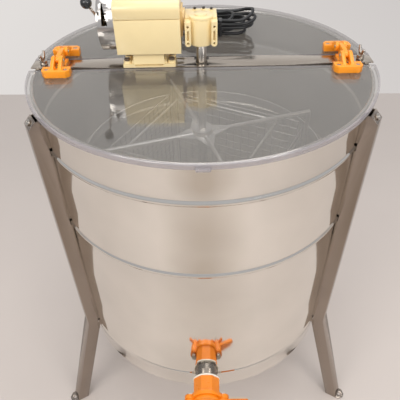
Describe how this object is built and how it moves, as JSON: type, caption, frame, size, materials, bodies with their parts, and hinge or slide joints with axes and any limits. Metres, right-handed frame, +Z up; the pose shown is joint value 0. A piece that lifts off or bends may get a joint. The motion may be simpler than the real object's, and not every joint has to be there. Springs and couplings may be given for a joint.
{
  "type": "honey extractor",
  "caption": "Electric honey extractor: open stainless drum on three folded legs, clear half lids, gear motor on a crossbar, spinning frame cage and a front honey gate.",
  "frame": {"origin": "on the floor, on the drum's axis, at the centre of the circle through the holes in the three feet", "axes": "+Z up along the drum's axis, -Y towards the honey gate, +X along the crossbar to the right seen from the gate"},
  "size_m": [0.769, 0.835, 1.03],
  "materials": {
    "drum_steel": "polished stainless sheet",
    "leg_steel": "satin stainless",
    "cage_steel": "satin stainless",
    "bright_steel": "turned and plated steel",
    "chrome": "bright polished",
    "bush_plastic": "white nylon",
    "gasket_rubber": "soft white",
    "gate_orange": "moulded, semi gloss",
    "hinge_orange": "moulded, semi gloss",
    "clear_lid": "clear acrylic",
    "cream_paint": "cream enamel, semi gloss",
    "black_steel": "black oxide",
    "bronze": "machined bronze",
    "black_rubber": "black flexible sheath",
    "black_plastic": "black, glossy"
  },
  "bodies": {
    "root": {"drum_shell": "drum_steel", "drum_bottom": "drum_steel", "pivot_cup": "drum_steel", "pivot_bush": "bush_plastic", "leg_left": "leg_steel", "leg_right": "leg_steel", "leg_rear": "leg_steel", "leg_bolts": "bright_steel", "outlet_nipple": "drum_steel", "gate_gasket": "gasket_rubber", "gate_body": "gate_orange", "gate_studs": "bright_steel", "crossbar": "drum_steel", "bar_brackets": "drum_steel", "hinge_post_left": "hinge_orange", "hinge_post_right": "hinge_orange", "hinge_pins": "bright_steel", "motor_foot": "cream_paint", "foot_bolts": "bright_steel", "motor_housing": "cream_paint", "motor_cover": "cream_paint", "motor_flange": "cream_paint", "stator": "bright_steel", "motor_bearings": "bright_steel", "speed_drum": "chrome", "gearbox_body": "cream_paint", "gearbox_cap": "cream_paint", "cap_screws": "black_steel", "worm_bearing": "bright_steel", "wheel_bearings": "bright_steel", "shaft_seal": "black_rubber", "cord_gland": "black_rubber"},
    "front_lid": {"front_lid": "clear_lid", "front_hinge_leaves": "hinge_orange", "front_leaf_screws": "bright_steel"},
    "rear_lid": {"rear_lid": "clear_lid", "rear_hinge_leaves": "hinge_orange", "rear_leaf_screws": "bright_steel", "cord_hank": "black_rubber", "plug": "black_plastic", "cord_lead": "black_rubber"},
    "cage": {"output_shaft": "bright_steel", "worm_wheel": "bronze", "coupling_sleeve": "bright_steel", "coupling_pin": "bright_steel", "cage_shaft": "cage_steel", "upper_spider": "cage_steel", "lower_spider": "cage_steel", "cage_hoops": "cage_steel", "cage_screens": "cage_steel", "frame_rails": "cage_steel"},
    "rotor": {"rotor": "bright_steel", "worm": "bright_steel"},
    "lever": {"speed_lever": "bright_steel", "lever_knob": "black_plastic"},
    "gate_blade": {"gate_blade": "gate_orange"},
    "gate_nut_left": {"gate_wing_nut_left": "gate_orange"},
    "gate_nut_right": {"gate_wing_nut_right": "gate_orange"},
    "bar_bolt_left": {"bar_wing_bolt_left": "bright_steel"},
    "bar_bolt_right": {"bar_wing_bolt_right": "bright_steel"}
  },
  "joints": [
    {"name": "front_lid_hinge", "type": "hinge", "parent": "root", "child": "front_lid", "pos_m": [0, -0.02, 0.911], "axis": [-1, 0, 0], "range_deg": [0, 55]},
    {"name": "rear_lid_hinge", "type": "hinge", "parent": "root", "child": "rear_lid", "pos_m": [0, 0.02, 0.911], "axis": [1, 0, 0], "range_deg": [0, 30], "deforming": ["cord_lead"]},
    {"name": "cage_spin", "type": "hinge", "parent": "root", "child": "cage", "pos_m": [0, 0, 0.5], "axis": [0, 0, 1], "continuous": true},
    {"name": "motor_spin", "type": "hinge", "parent": "root", "child": "rotor", "pos_m": [-0.09, 0.018, 0.967], "axis": [1, 0, 0], "continuous": true},
    {"name": "speed_lever_turn", "type": "hinge", "parent": "root", "child": "lever", "pos_m": [-0.18, 0.018, 0.967], "axis": [1, 0, 0], "range_deg": [-12, 30]},
    {"name": "gate_blade_turn", "type": "hinge", "parent": "root", "child": "gate_blade", "pos_m": [0.036, -0.375, 0.307], "axis": [0, 1, 0], "range_deg": [0, 90]},
    {"name": "gate_nut_left_turn", "type": "hinge", "parent": "root", "child": "gate_nut_left", "pos_m": [-0.036, -0.382, 0.307], "axis": [0, 1, 0], "continuous": true},
    {"name": "gate_nut_right_turn", "type": "hinge", "parent": "root", "child": "gate_nut_right", "pos_m": [0.036, -0.382, 0.307], "axis": [0, 1, 0], "continuous": true},
    {"name": "bar_bolt_left_turn", "type": "hinge", "parent": "root", "child": "bar_bolt_left", "pos_m": [-0.297, 0, 0.9], "axis": [0, 0, 1], "continuous": true},
    {"name": "bar_bolt_right_turn", "type": "hinge", "parent": "root", "child": "bar_bolt_right", "pos_m": [0.297, 0, 0.9], "axis": [0, 0, 1], "continuous": true}
  ],
  "couplings": [
    {"joint": "motor_spin", "follows": "cage_spin", "ratio": 26}
  ]
}
